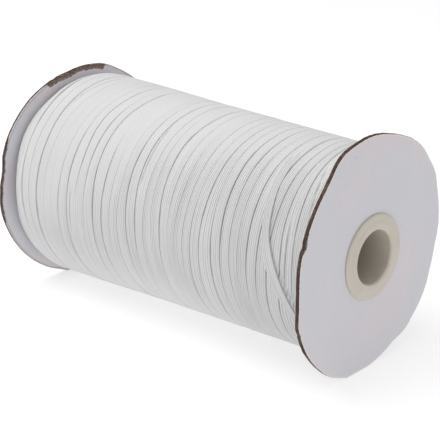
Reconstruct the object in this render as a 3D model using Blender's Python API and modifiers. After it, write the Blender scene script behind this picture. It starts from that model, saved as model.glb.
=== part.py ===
"""A roll of flat braided elastic, wound on a plastic core between two card flanges.

The roll lies on its side. Its axis runs along X, the fully shown end is at +X and the
front is at -Y. Lengths are in metres. Angles round the axis are in degrees: 0 faces
the front, 90 the top, 180 the back and 270 the bottom. Everything is modelled about
the axis and then lifted so that the origin is at the bottom centre of the whole roll.
"""

import math

import bmesh
import bpy
from mathutils import Matrix, Vector

NAME = "elastic_roll"
MM = 0.001

# Card flanges.
LENGTH = 159.4 * MM          # between the outer faces of the two cards
CARD = 1.6 * MM              # thickness of a card
HOLE_RADIUS = 12.4 * MM
RIM_STEPS = 96
FLOOR_DROP = 45.2 * MM       # from the axis down to the flat spots that the roll lies on
SEAT_RADIUS = 18.0 * MM      # the flat seat of the collar on a card
LEAN_FROM = 17.0 * MM        # a card is flat inside this distance from its middle
LEAN_TO = 30.0 * MM          # and leans fully outside this one
NEAR_LEAN = (0.063, 0.045)   # the front edge of each card leans outwards, the back edge
FAR_LEAN = (0.035, 0.035)    # inwards, by this much for each unit of distance
CRUSH_ANGLE = 259.0          # the near card's lower edge is crushed straight here
CRUSH_DISTANCE = 42.7 * MM

# Core: a tube with a flanged collar pressed into each end.
GAP = 0.3 * MM
BORE_RADIUS = 10.6 * MM
SPIGOT_RADIUS = 12.0 * MM
SPIGOT_LENGTH = 12.0 * MM
TUBE_WALL = 2.0 * MM
COLLAR_RADIUS = 16.95 * MM
COLLAR_LIFT = 0.3 * MM       # underside of the collar above the card
COLLAR_EDGE = 0.8 * MM       # top of the collar's outer edge above the card
COLLAR_CREST = 1.25 * MM     # top of the lip round the bore above the card
CORE_STEPS = 40

# Winding.
NEAR_RADIUS = 39.9 * MM
FAR_RADIUS = 44.6 * MM
WIND_STEPS = 48
END_CLEARANCE = 0.5 * MM     # between the winding and each card
END_ROUND = 1.0 * MM
GROOVE_DEPTH = 0.45 * MM
GROOVE_HALF = 0.8 * MM
END_LEAN_LENGTH = 36.0 * MM  # the turns lean with the card over this much of each end
CROSS_RISE = 0.8 * MM        # the turn that crosses over its neighbours
CROSS_HALF = 3.0 * MM
CROSS_START_X = 55.6 * MM
CROSS_START_ANGLE = 52.0
CROSS_END_ANGLE = -40.0
CROSS_CURVE = 0.0041 * MM    # how fast it swings towards the near card, per squared degree

# Outline of each card: angle round the axis, radius in millimetres.
NEAR_RIM = (
    (0, 46.7), (15, 47.5), (30, 47.1), (45, 47.0), (62, 48.2), (80, 47.6), (105, 46.4),
    (112, 46.4), (120, 46.85), (132, 47.6), (142, 47.6), (152, 48.3), (163, 47.5), (180, 47.6),
    (192, 46.35), (203, 46.6), (213, 47.5), (220, 47.4), (228, 46.8), (240, 47.0), (290, 47.0),
    (310, 47.3), (335, 48.2), (345, 48.4), (353, 47.0),
)
FAR_RIM = (
    (3, 46.7), (10, 45.9), (15, 46.4), (20, 47.2), (30, 47.5), (50, 47.35), (70, 47.3),
    (79, 46.75), (94, 47.4), (106, 47.95), (120, 47.5), (180, 47.4), (240, 47.6), (285, 47.3),
    (293, 46.9), (302, 47.4), (330, 47.5), (350, 47.7),
)

# Where the main turns part and leave a groove, in millimetres from the middle of the roll.
GROOVES = (
    -60.3, -42.0, -28.5, -22.0, -8.5, 8.0, 17.5, 25.5, 30.0, 34.8, 39.5, 43.8, 52.0,
    57.0, 62.0, 67.0,
)


def clear_scene():
    """Remove whatever the file holds."""
    for item in list(bpy.data.objects):
        bpy.data.objects.remove(item, do_unlink=True)


def add_material(name, color, roughness):
    """Make a plain Principled material."""
    material = bpy.data.materials.new(name)
    material.use_nodes = True
    shader = material.node_tree.nodes["Principled BSDF"]
    shader.inputs["Base Color"].default_value = (*color, 1.0)
    shader.inputs["Roughness"].default_value = roughness
    shader.inputs["Metallic"].default_value = 0.0
    return material


def elastic_material():
    """White braided elastic."""
    return add_material("elastic", (0.80, 0.80, 0.79), 0.85)


def card_material(name):
    """White coated card."""
    return add_material(name, (0.72, 0.71, 0.75), 0.6)


def plastic_material(name):
    """Cream plastic, slightly glossy."""
    return add_material(name, (0.66, 0.61, 0.52), 0.4)


def link_mesh(name, mesh, material, collection, root):
    """Put a mesh into the model as a named part under the root."""
    mesh.materials.clear()
    mesh.materials.append(material)
    part = bpy.data.objects.new(name, mesh)
    collection.objects.link(part)
    part.parent = root
    return part


def smooth_step(value, low, high):
    """Rise from 0 at low to 1 at high with a level start and end."""
    t = min(max((value - low) / (high - low), 0.0), 1.0)
    return t * t * (3.0 - 2.0 * t)


def rim_radius(rows, angle):
    """Radius of an outline at an angle, eased between the rows of its table."""
    angle %= 360.0
    for index, (start, radius) in enumerate(rows):
        end, next_radius = rows[(index + 1) % len(rows)]
        span = (end - start) % 360.0
        offset = (angle - start) % 360.0
        if offset <= span:
            return (radius + (next_radius - radius) * smooth_step(offset, 0.0, span)) * MM
    raise ValueError("the outline has no row for this angle")


def near_rim(angle):
    """Radius of the near card, with its crushed lower edge."""
    radius = rim_radius(NEAR_RIM, angle)
    facing = math.cos(math.radians(angle - CRUSH_ANGLE))
    if facing > 0.5:
        radius = min(radius, CRUSH_DISTANCE / facing)
    return radius


def far_rim(angle):
    """Radius of the far card."""
    return rim_radius(FAR_RIM, angle)


def card_lean(front, slopes):
    """Outward shift of a card at a distance towards the front of its middle."""
    slope = slopes[0] if front > 0.0 else slopes[1]
    return slope * front * smooth_step(abs(front), LEAN_FROM, LEAN_TO)


def add_loop(bm, radius_at):
    """Add a closed loop of edges about X, with a radius for each angle."""
    verts = bmesh.ops.create_circle(bm, segments=RIM_STEPS, radius=1.0)["verts"]
    for step, vert in enumerate(verts):
        angle = 360.0 * step / RIM_STEPS
        turn = math.radians(angle)
        vert.co = Vector((0.0, -math.cos(turn), math.sin(turn))) * radius_at(angle)
    return [edge for vert in verts for edge in vert.link_edges if edge.verts[0] == vert]


def add_card(name, rim, side, slopes, material, collection, root):
    """Make one card flange: a ring with an uneven rim, a flat spot and a lean."""
    bm = bmesh.new()
    loops = [add_loop(bm, rim)]
    for radius in (LEAN_TO, SEAT_RADIUS, HOLE_RADIUS):
        loops.append(add_loop(bm, lambda angle: radius))
    for outer, inner in zip(loops, loops[1:]):
        bmesh.ops.bridge_loops(bm, edges=outer + inner)
    grown = bmesh.ops.extrude_face_region(bm, geom=bm.faces[:])["geom"]
    lifted = [item for item in grown if isinstance(item, bmesh.types.BMVert)]
    bmesh.ops.translate(bm, verts=lifted, vec=(-side * CARD, 0.0, 0.0))
    everything = bm.verts[:] + bm.edges[:] + bm.faces[:]
    cut = bmesh.ops.bisect_plane(
        bm, geom=everything, plane_co=(0.0, 0.0, -FLOOR_DROP), plane_no=(0.0, 0.0, -1.0),
        clear_outer=True,
    )["geom_cut"]
    bmesh.ops.holes_fill(bm, edges=[item for item in cut if isinstance(item, bmesh.types.BMEdge)])
    for vert in bm.verts:
        vert.co.x += side * (0.5 * LENGTH + card_lean(-vert.co.y, slopes))
    bmesh.ops.recalc_face_normals(bm, faces=bm.faces[:])
    mesh = bpy.data.meshes.new(name)
    bm.to_mesh(mesh)
    bm.free()
    return link_mesh(name, mesh, material, collection, root)


def turned_mesh(name, profile, steps):
    """Turn a closed profile of (radius, place along the axis) points about X."""
    mesh = bpy.data.meshes.new(name)
    edges = [(index, (index + 1) % len(profile)) for index in range(len(profile))]
    mesh.from_pydata([(radius, 0.0, along) for radius, along in profile], edges, [])
    guide = bpy.data.objects.new(name + "_profile", mesh)
    bpy.context.scene.collection.objects.link(guide)
    screw = guide.modifiers.new("Turn", "SCREW")
    screw.axis = "Z"
    screw.steps = steps
    screw.render_steps = steps
    screw.use_merge_vertices = True
    screw.merge_threshold = 0.00001
    evaluated = guide.evaluated_get(bpy.context.evaluated_depsgraph_get())
    turned = bpy.data.meshes.new_from_object(evaluated)
    bpy.data.objects.remove(guide, do_unlink=True)
    bpy.data.meshes.remove(mesh)
    turned.transform(Matrix.Rotation(math.radians(90.0), 4, "Y"))
    turned.name = name
    turned.shade_smooth()
    turned.set_sharp_from_angle(angle=math.radians(35.0))
    return turned


def add_tube(material, collection, root):
    """Make the core tube that the elastic is wound on."""
    inner = SPIGOT_RADIUS + GAP
    outer = inner + TUBE_WALL
    half = 0.5 * LENGTH - CARD - GAP
    profile = [(outer, half), (outer, -half), (inner, -half), (inner, half)]
    return link_mesh("core_tube", turned_mesh("core_tube", profile, CORE_STEPS), material, collection, root)


def collar_profile():
    """Give a collar's section, with places counted outwards from its card's outer face."""
    inside = -(CARD + SPIGOT_LENGTH)
    lip = BORE_RADIUS + 0.8 * MM
    return [
        (SPIGOT_RADIUS, COLLAR_LIFT),
        (COLLAR_RADIUS, COLLAR_LIFT),
        (COLLAR_RADIUS, COLLAR_EDGE - 0.2 * MM),
        (COLLAR_RADIUS - 0.3 * MM, COLLAR_EDGE),
        (BORE_RADIUS + 3.4 * MM, COLLAR_EDGE + 0.2 * MM),
        (BORE_RADIUS + 2.6 * MM, COLLAR_CREST),
        (lip, COLLAR_CREST),
        (BORE_RADIUS + 0.2 * MM, COLLAR_CREST - 0.35 * MM),
        (BORE_RADIUS, COLLAR_CREST - 0.9 * MM),
        (BORE_RADIUS, inside),
        (SPIGOT_RADIUS, inside),
    ]


def add_collar(name, side, material, collection, root):
    """Make a flanged collar whose spigot sits inside one end of the tube."""
    section = [(radius, side * (0.5 * LENGTH + along)) for radius, along in collar_profile()]
    if side > 0:
        section.reverse()
    return link_mesh(name, turned_mesh(name, section, CORE_STEPS), material, collection, root)


def winding_radius(along):
    """Radius of the wound elastic, fuller at the far end."""
    share = along / LENGTH + 0.5
    return FAR_RADIUS + (NEAR_RADIUS - FAR_RADIUS) * share


def winding_profile():
    """Give the winding's section: its outside with a groove at each main parting."""
    half = 0.5 * LENGTH - CARD - END_CLEARANCE
    inner = SPIGOT_RADIUS + GAP + TUBE_WALL + GAP
    points = [(winding_radius(-half) - END_ROUND, -half), (winding_radius(-half), END_ROUND - half)]
    for middle in GROOVES:
        along = middle * MM
        radius = winding_radius(along)
        points.append((radius, along - GROOVE_HALF))
        points.append((radius - GROOVE_DEPTH, along))
        points.append((radius, along + GROOVE_HALF))
    points.append((winding_radius(half), half - END_ROUND))
    points.append((winding_radius(half) - END_ROUND, half))
    points += [(LEAN_TO, half), (SEAT_RADIUS, half), (inner, half)]
    points += [(inner, -half), (SEAT_RADIUS, -half), (LEAN_TO, -half)]
    points.reverse()
    return points


def crossing_place(angle):
    """Place along the roll of the crossing turn at an angle round the axis."""
    return CROSS_START_X + CROSS_CURVE * (CROSS_START_ANGLE - angle) ** 2


def crossing_rise(along, angle):
    """Height of the crossing turn above the turns beneath it."""
    if not CROSS_END_ANGLE <= angle <= CROSS_START_ANGLE:
        return 0.0
    offset = abs(along - crossing_place(angle))
    return CROSS_RISE * (1.0 - smooth_step(offset, 0.4 * CROSS_HALF, CROSS_HALF))


def shape_winding(mesh):
    """Raise the crossing turn and let both ends of the winding lean with their cards."""
    core = SPIGOT_RADIUS + TUBE_WALL + 2.0 * GAP
    half = 0.5 * LENGTH
    for vert in mesh.vertices:
        along, across, up = vert.co
        radius = math.hypot(across, up)
        angle = math.degrees(math.atan2(up, -across))
        if radius > core + MM:
            grown = radius + crossing_rise(along, angle)
            vert.co.y *= grown / radius
            vert.co.z *= grown / radius
        near = smooth_step(along, half - END_LEAN_LENGTH, half)
        far = smooth_step(-along, half - END_LEAN_LENGTH, half)
        vert.co.x += near * card_lean(-across, NEAR_LEAN) - far * card_lean(-across, FAR_LEAN)


def add_winding(material, collection, root):
    """Make the wound elastic as one solid."""
    mesh = turned_mesh("winding", winding_profile(), WIND_STEPS)
    shape_winding(mesh)
    return link_mesh("winding", mesh, material, collection, root)


def stand_on_origin(root, parts):
    """Move the whole roll so that the bottom centre of its box is the origin."""
    corners = [vert.co for part in parts for vert in part.data.vertices]
    low = [min(corner[axis] for corner in corners) for axis in range(3)]
    high = [max(corner[axis] for corner in corners) for axis in range(3)]
    root.location = (-0.5 * (low[0] + high[0]), -0.5 * (low[1] + high[1]), -low[2])


def main():
    """Build every part of the roll."""
    clear_scene()
    collection = bpy.data.collections.new(NAME)
    bpy.context.scene.collection.children.link(collection)
    root = bpy.data.objects.new(NAME + "_axis", None)
    collection.objects.link(root)
    near_card = card_material("near_card")
    far_card = card_material("far_card")
    parts = [
        add_winding(elastic_material(), collection, root),
        add_card("flange_near", near_rim, 1.0, NEAR_LEAN, near_card, collection, root),
        add_card("flange_far", far_rim, -1.0, FAR_LEAN, far_card, collection, root),
        add_tube(plastic_material("tube_plastic"), collection, root),
        add_collar("collar_near", 1.0, plastic_material("near_collar_plastic"), collection, root),
        add_collar("collar_far", -1.0, plastic_material("far_collar_plastic"), collection, root),
    ]
    stand_on_origin(root, parts)


main()
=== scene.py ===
"""Looks for a roll of flat braided elastic, wound on a plastic core between two card flanges.

The roll lies on its side with its axis along X and its fully shown end at +X. Places round
the axis are in degrees: 0 faces the front (-Y), 90 the top, 180 the back and 270 the
underside. Places along the roll are counted from its middle. Lengths in the tables are in
millimetres, and everything else is in metres.
"""

import logging
import math
from dataclasses import dataclass, field
from enum import Enum
from typing import Callable, NamedTuple, Sequence

import bmesh
import bpy
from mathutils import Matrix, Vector, noise


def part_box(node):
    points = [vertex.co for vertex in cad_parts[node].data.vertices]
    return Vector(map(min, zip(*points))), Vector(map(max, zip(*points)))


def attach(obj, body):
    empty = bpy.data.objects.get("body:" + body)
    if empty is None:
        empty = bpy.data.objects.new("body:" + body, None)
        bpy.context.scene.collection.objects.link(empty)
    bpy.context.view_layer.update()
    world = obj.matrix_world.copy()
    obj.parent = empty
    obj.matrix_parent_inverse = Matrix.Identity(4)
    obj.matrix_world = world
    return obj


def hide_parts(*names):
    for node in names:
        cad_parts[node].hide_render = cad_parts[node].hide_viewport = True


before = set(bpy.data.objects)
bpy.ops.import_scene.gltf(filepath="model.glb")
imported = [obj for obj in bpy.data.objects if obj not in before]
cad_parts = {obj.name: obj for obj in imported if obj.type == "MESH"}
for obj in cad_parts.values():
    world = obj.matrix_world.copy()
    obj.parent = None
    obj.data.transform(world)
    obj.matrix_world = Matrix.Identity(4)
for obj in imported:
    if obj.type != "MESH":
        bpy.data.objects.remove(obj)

MM = 0.001
CARD_THICKNESS = 1.6 * MM
FIT_GAP = 0.3 * MM          # between pieces that press together on the real roll
LEAN_FROM = 17.0 * MM       # a card is flat up to here from the axis
LEAN_TO = 30.0 * MM         # and leans in full from here
ROOT = "root"
LOG = logging.getLogger("elastic_roll")

Colour = tuple[float, float, float]
Place = tuple[float, float, float]


# ---------------------------------------------------------------- shared geometry


def climb(value: float, low: float, high: float) -> float:
    """Climb from 0 at low to 1 at high, with a level start and end."""
    share = min(max((value - low) / (high - low), 0.0), 1.0)
    return share * share * (3.0 - 2.0 * share)


def fall(value: float, low: float, high: float) -> float:
    """Fall from 1 at low to 0 at high, with a level start and end."""
    return 1.0 - climb(value, low, high)


def hum(first: float, second: float, seed: float = 0.0) -> float:
    """Give a smooth, repeatable unevenness between about -1 and 1; each seed has its own."""
    return noise.noise(Vector((first, second, 7.3 * seed + 0.5)))


class Lean(NamedTuple):
    """How far a card leans for each unit of distance: out at the front, in at the back."""

    front: float
    back: float

    def shift(self, front: float) -> float:
        """Shift of the card away from the middle of the roll, at a distance in front of its axis."""
        slope = self.front if front > 0.0 else self.back
        return slope * front * climb(abs(front), LEAN_FROM, LEAN_TO)


NEAR_LEAN = Lean(0.063, 0.045)
FAR_LEAN = Lean(0.035, 0.035)


@dataclass(frozen=True)
class RollAxis:
    """Where the roll's axis lies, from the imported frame."""

    middle: Vector
    half: float

    @classmethod
    def from_frame(cls) -> "RollAxis":
        """Find the axis and the cards' outer faces from the core tube's box."""
        low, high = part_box("core_tube")
        return cls(middle=(low + high) / 2.0, half=(high.x - low.x) / 2.0 + CARD_THICKNESS + FIT_GAP)

    def place(self, along: float, angle: float, radius: float) -> Vector:
        """Turn a place along the roll, an angle and a radius into a point."""
        turn = math.radians(angle)
        return self.middle + Vector((along, -radius * math.cos(turn), radius * math.sin(turn)))


def angle_of(point: Vector) -> float:
    """Degrees round the X axis of a point given about it, from 0 up to 360."""
    return math.degrees(math.atan2(point.z, -point.y)) % 360.0


def folded(angle: float) -> float:
    """Give the same angle from -180 to 180 degrees."""
    return (angle + 180.0) % 360.0 - 180.0


def rise_of(angle: float) -> float:
    """Degrees above the level of the axis, from -90 to 90, for an angle round it."""
    return math.degrees(math.asin(math.sin(math.radians(angle))))


def spun_ring(
    section: Sequence[tuple[float, float]], steps: int, pitch: float = 0.0, degrees: float = 360.0
) -> bmesh.types.BMesh:
    """Spin a closed section about X, from the top down the front.

    Each vertex keeps its number in the section in the integer layer "slot".

    Args:
        section: points as (along, radius).
        steps: steps in all.
        pitch: travel along X in all; without it the ring closes on itself.
        degrees: how far round it goes.

    Returns:
        The ring, or an open turn of a helix.
    """
    mesh = bmesh.new()
    slot = mesh.verts.layers.int.new("slot")
    points = [mesh.verts.new((along, 0.0, radius)) for along, radius in section]
    for number, point in enumerate(points):
        point[slot] = number
    edges = [mesh.edges.new((points[index - 1], points[index])) for index in range(len(points))]
    bmesh.ops.spin(
        mesh, geom=points + edges, cent=(0.0, 0.0, 0.0), axis=(1.0, 0.0, 0.0),
        dvec=(pitch / steps, 0.0, 0.0), angle=math.radians(degrees), steps=steps,
        use_merge=pitch == 0.0,
    )
    return mesh


def spun_helix(
    section: Sequence[tuple[float, float]], turns: int, steps: int, pitch: float, degrees: float
) -> bmesh.types.BMesh:
    """Spin a closed section about X into a helix with closed ends.

    Args:
        section: points as (along, radius).
        turns: how many lengths it has.
        steps: steps in each length.
        pitch: travel along X in each length.
        degrees: how far round each length goes.

    Returns:
        The helix.
    """
    mesh = spun_ring(section, steps, pitch, degrees)
    first = mesh.verts[:] + mesh.edges[:] + mesh.faces[:]
    for turn in range(1, turns):
        copy = bmesh.ops.duplicate(mesh, geom=first)["geom"]
        moved = [item for item in copy if isinstance(item, bmesh.types.BMVert)]
        bmesh.ops.translate(mesh, verts=moved, vec=(pitch * turn, 0.0, 0.0))
    joints = [vert for vert in mesh.verts if vert.is_boundary]
    bmesh.ops.remove_doubles(mesh, verts=joints, dist=0.001 * MM)
    rims = [edge for edge in mesh.edges if edge.is_boundary]
    bmesh.ops.holes_fill(mesh, edges=rims, sides=0)
    return mesh


def stand(name: str, data: bpy.types.ID) -> bpy.types.Object:
    """Put new data in the scene as an object.

    Args:
        name: the object's name.
        data: its mesh, light or camera.

    Returns:
        The object.
    """
    item = bpy.data.objects.new(name, data)
    bpy.context.scene.collection.objects.link(item)
    return item


def stand_mesh(
    mesh: bmesh.types.BMesh, name: str, materials: Sequence[bpy.types.Material]
) -> bpy.types.Object:
    """Put a bmesh in the scene as an object.

    Args:
        mesh: the shape; it is freed.
        name: the object's name.
        materials: its materials, in the order of the faces' numbers.

    Returns:
        The object.
    """
    data = bpy.data.meshes.new(name)
    mesh.to_mesh(data)
    mesh.free()
    for material in materials:
        data.materials.append(material)
    return stand(name, data)


def finish_piece(
    mesh: bmesh.types.BMesh, name: str, materials: Sequence[bpy.types.Material],
    nodes: Sequence[str], crease: float = 40.0,
) -> bpy.types.Object:
    """Turn a bmesh into a finished piece that rides on the roll.

    Args:
        mesh: the shape, already in its place; it is freed.
        name: the piece's name.
        materials: its materials, in the order of the faces' numbers.
        nodes: the CAD nodes that it stands for.
        crease: edges sharper than this many degrees stay sharp.

    Returns:
        The piece.
    """
    bmesh.ops.recalc_face_normals(mesh, faces=mesh.faces[:])
    piece = stand_mesh(mesh, name, materials)
    piece.data.shade_smooth()
    piece.data.set_sharp_from_angle(angle=math.radians(crease))
    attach(piece, ROOT)
    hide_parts(*nodes)
    LOG.info("%s: %d faces", name, len(piece.data.polygons))
    return piece


# ---------------------------------------------------------------- finishes


class NodeSheet:
    """A material's node tree, with short ways to add the nodes that the finishes use."""

    def __init__(self, name: str) -> None:
        """Start a material.

        Args:
            name: its name.
        """
        self.material = bpy.data.materials.new(name)
        self.material.use_nodes = True
        self.tree = self.material.node_tree
        self.shader = self.tree.nodes["Principled BSDF"]

    def add(self, kind: str, inputs: dict[int | str, object], **settings: object) -> bpy.types.Node:
        """Add a node.

        Args:
            kind: the node's type.
            inputs: a value or socket for each input, by its number or name.
            **settings: its properties by name.

        Returns:
            The node.
        """
        node = self.tree.nodes.new(kind)
        for key, value in settings.items():
            setattr(node, key, value)
        for key, value in inputs.items():
            self.feed(node.inputs[key], value)
        return node

    def feed(self, socket: bpy.types.NodeSocket, value: object) -> None:
        """Link an input to another socket, or set its value.

        Args:
            socket: the input.
            value: an output socket, a number or a colour.
        """
        if isinstance(value, bpy.types.NodeSocket):
            self.tree.links.new(value, socket)
        elif isinstance(value, tuple) and len(value) == 3 and socket.type == "RGBA":
            socket.default_value = (*value, 1.0)
        else:
            socket.default_value = value

    def reading(self, name: str) -> tuple[bpy.types.NodeSocket, ...]:
        """Read a vector that the piece carries at each of its points, and its three parts."""
        vector = self.add("ShaderNodeAttribute", {}, attribute_name=name).outputs["Vector"]
        return vector, *self.add("ShaderNodeSeparateXYZ", {0: vector}).outputs

    def maths(self, kind: str, *values: object) -> bpy.types.NodeSocket:
        """Work out a number from numbers or sockets, by the Math node's operation."""
        return self.add("ShaderNodeMath", dict(enumerate(values)), operation=kind).outputs[0]

    def times(self, value: object, scale: object) -> bpy.types.NodeSocket:
        """Multiply a number or socket by another."""
        return self.maths("MULTIPLY", value, scale)

    def line(self, value: object, scale: object, start: object) -> bpy.types.NodeSocket:
        """Multiply a number or socket by a scale and add a start."""
        return self.maths("MULTIPLY_ADD", value, scale, start)

    def ease(self, value: object, low: float, high: float) -> bpy.types.NodeSocket:
        """Map a number smoothly to 0 at low and 1 at high."""
        inputs = {"Value": value, "From Min": low, "From Max": high}
        return self.add("ShaderNodeMapRange", inputs, interpolation_type="SMOOTHSTEP").outputs["Result"]

    def blend(self, share: object, first: object, second: object) -> bpy.types.NodeSocket:
        """Blend two colours or sockets, by the share of the second."""
        return self.add("ShaderNodeMix", {0: share, 6: first, 7: second}, data_type="RGBA").outputs[2]

    def relief(self, height: object, depth: float, strength: float) -> bpy.types.NodeSocket:
        """Turn a height from 0 to 1 into a normal, with the depth that a height of 1 stands for."""
        inputs = {"Height": height, "Distance": depth, "Strength": strength}
        return self.add("ShaderNodeBump", inputs).outputs["Normal"]

    def speckle(
        self, size: float, detail: float = 2.0, stretch: Place = (1.0, 1.0, 1.0),
        where: bpy.types.NodeSocket | None = None,
    ) -> bpy.types.NodeSocket:
        """Add noise.

        Args:
            size: size of a speck, in the coordinates' unit.
            detail: how many finer layers it has.
            stretch: scale along each axis.
            where: coordinates to use in place of the object's.

        Returns:
            The noise, from 0 to 1.
        """
        where = where or self.add("ShaderNodeTexCoord", {}).outputs["Object"]
        place = self.add("ShaderNodeMapping", {"Vector": where, "Scale": stretch}).outputs["Vector"]
        inputs = {"Vector": place, "Scale": 1.0 / size, "Detail": detail}
        return self.add("ShaderNodeTexNoise", inputs).outputs["Fac"]

    def finish(self, inputs: dict[str, object]) -> bpy.types.Material:
        """Fill the shader's inputs.

        Args:
            inputs: a value or socket for each, by its name.

        Returns:
            The finished material.
        """
        for name, value in inputs.items():
            self.feed(self.shader.inputs[name], value)
        return self.material


@dataclass(frozen=True)
class BraidFinish:
    """Flat white braided elastic: plaited cords side by side, with a faint sheen."""

    colour: Colour = (0.69, 0.69, 0.69)
    # painted shade in the valleys between the cords
    valley: Colour = (0.42, 0.42, 0.42)
    cords: float = 5.0
    plait: float = 1.1          # millimetres from one plait to the next along the strand
    drift: float = 70.0         # millimetres over which a valley grows plainer or fainter
    relief_depth: float = 0.07 * MM

    def material(self) -> bpy.types.Material:
        """Build the material, which reads the attributes "strand" and "plain".

        Returns:
            The material.
        """
        sheet = NodeSheet("braided_elastic")
        strand, across, along, tone = sheet.reading("strand")
        cord = sheet.times(across, self.cords)
        inside = sheet.maths("FRACT", cord)
        side = sheet.maths("ABSOLUTE", sheet.line(inside, 2.0, -1.0))
        parity = sheet.maths("MODULO", sheet.maths("FLOOR", cord), 2.0)
        slant = sheet.line(parity, 2.0, -1.0)
        phase = sheet.line(along, 1.0 / self.plait, sheet.times(inside, slant))
        wave = sheet.maths("SINE", sheet.times(phase, 2.0 * math.pi))
        stitch = sheet.line(wave, 0.5, 0.5)
        fibre = sheet.speckle(0.12, 3.0, (9.0, 0.5, 1.0), strand)
        mottle = sheet.speckle(14.0 * MM, 3.0)
        round_cord = sheet.maths("SUBTRACT", 1.0, sheet.maths("POWER", side, 2.5))
        height = sheet.line(stitch, 0.35, sheet.times(round_cord, 0.5))
        height = sheet.line(fibre, 0.5, height)
        plain = sheet.add("ShaderNodeAttribute", {}, attribute_name="plain").outputs["Fac"]
        number = sheet.times(sheet.maths("ROUND", cord), 5.3)
        valley = sheet.add("ShaderNodeCombineXYZ", {0: number, 1: along}).outputs[0]
        drawn = sheet.speckle(1.0, 1.0, (1.0, 1.0 / self.drift, 1.0), valley)
        drawn = sheet.line(sheet.ease(drawn, 0.35, 0.68), 1.0, 0.25)
        # Painted shade: darker in the valleys between the cords and in the plait's troughs, more where
        # the cords show plainly.
        shade = sheet.times(sheet.maths("POWER", side, 3.5), sheet.times(plain, drawn))
        shade = sheet.line(sheet.maths("SUBTRACT", 1.0, stitch), 0.10, shade)
        colour = sheet.blend(shade, self.colour, self.valley)
        # Scale by the strand's tone, which carries painted light and shade, with a faint random mottle.
        worn = sheet.line(mottle, 0.06, sheet.maths("SUBTRACT", tone, 0.03))
        tint = sheet.add("ShaderNodeVectorMath", {0: colour, "Scale": worn}, operation="SCALE")
        return sheet.finish({
            "Base Color": tint.outputs[0],
            "Roughness": sheet.line(fibre, 0.2, 0.62),
            "Specular IOR Level": 0.3,
            "Sheen Weight": 0.25,
            "Sheen Roughness": 0.5,
            "Normal": sheet.relief(height, self.relief_depth, 0.8),
        })


@dataclass(frozen=True)
class PaperFinish:
    """White paper on card, with a lavender cast, faint rubs, and brown board where it is torn."""

    name: str
    colour: Colour = (0.66, 0.655, 0.70)
    blush: Colour = (0.69, 0.65, 0.685)
    grime: Colour = (0.42, 0.40, 0.42)
    # colour along the rim: on the near card a painted highlight, tinted tan like a slightly torn paper
    # edge; on the far card a darker brown band
    rim: Colour = (0.83, 0.73, 0.67)
    board: Colour = (0.14, 0.095, 0.075)
    split: Colour = (0.40, 0.30, 0.25)

    def material(self) -> bpy.types.Material:
        """Build the material, which reads the attribute "wear".

        Returns:
            The material.
        """
        sheet = NodeSheet(self.name)
        _, inset, torn, _ = sheet.reading("wear")
        cloud = sheet.speckle(38.0 * MM, 2.0)
        grain = sheet.speckle(0.45 * MM, 4.0)
        rub = sheet.speckle(5.0 * MM, 5.0, (1.0, 1.0, 2.4))
        ragged = sheet.speckle(3.2 * MM, 4.0)
        colour = sheet.blend(sheet.ease(cloud, 0.42, 0.66), self.colour, self.blush)
        rubbed = sheet.times(sheet.ease(rub, 0.56, 0.75), 0.07)
        colour = sheet.blend(rubbed, colour, self.grime)
        # Painted highlight along the near card's rim, tinted tan like a slightly torn paper edge; a
        # darker brown band on the far card.
        near_rim = sheet.times(sheet.ease(inset, 0.95, 0.4), 0.85)
        colour = sheet.blend(near_rim, colour, self.rim)
        reach = sheet.line(sheet.maths("SUBTRACT", ragged, 0.5), 2.4, torn)
        bare = sheet.ease(reach, -0.06, 0.10)
        fibre = sheet.speckle(0.5 * MM, 4.0, (3.0, 1.0, 1.0))
        split = sheet.times(sheet.ease(fibre, 0.35, 0.7), sheet.ease(inset, 0.2, 1.6))
        raw = sheet.blend(split, self.board, self.split)
        height = sheet.line(bare, -1.6, sheet.times(grain, 0.35))
        height = sheet.line(fibre, sheet.times(bare, 1.4), height)
        return sheet.finish({
            "Base Color": sheet.blend(bare, colour, raw),
            "Roughness": sheet.line(bare, 0.3, sheet.line(rub, 0.18, 0.45)),
            "Specular IOR Level": 0.35,
            "Normal": sheet.relief(height, 0.12 * MM, 0.7),
        })


@dataclass(frozen=True)
class BoardEdgeFinish:
    """The raw edge of the card: brown board, or the paler skin that still covers it."""

    name: str
    dark: Colour = (0.055, 0.037, 0.032)
    light: Colour = (0.21, 0.14, 0.112)
    skin: Colour = (0.60, 0.57, 0.58)

    def material(self) -> bpy.types.Material:
        """Build the material, which reads the attribute "wear".

        Returns:
            The material.
        """
        sheet = NodeSheet(self.name)
        layers = sheet.speckle(0.5 * MM, 3.0, (1.6, 0.12, 0.12))
        crumbs = sheet.speckle(0.9 * MM, 5.0)
        bruise = sheet.speckle(9.0 * MM, 3.0)
        mixed = sheet.line(crumbs, 0.55, sheet.times(layers, 0.45))
        share = sheet.times(sheet.ease(mixed, 0.40, 0.66), sheet.ease(bruise, 0.25, 0.75))
        _, _, _, bared = sheet.reading("wear")
        ragged = sheet.line(sheet.maths("SUBTRACT", crumbs, 0.5), 1.6, bared)
        board = sheet.blend(share, self.dark, self.light)
        return sheet.finish({
            "Base Color": sheet.blend(sheet.ease(ragged, 0.25, 0.65), self.skin, board),
            "Roughness": 0.9,
            "Specular IOR Level": 0.15,
            "Normal": sheet.relief(mixed, 0.4 * MM, 0.9),
        })


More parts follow.
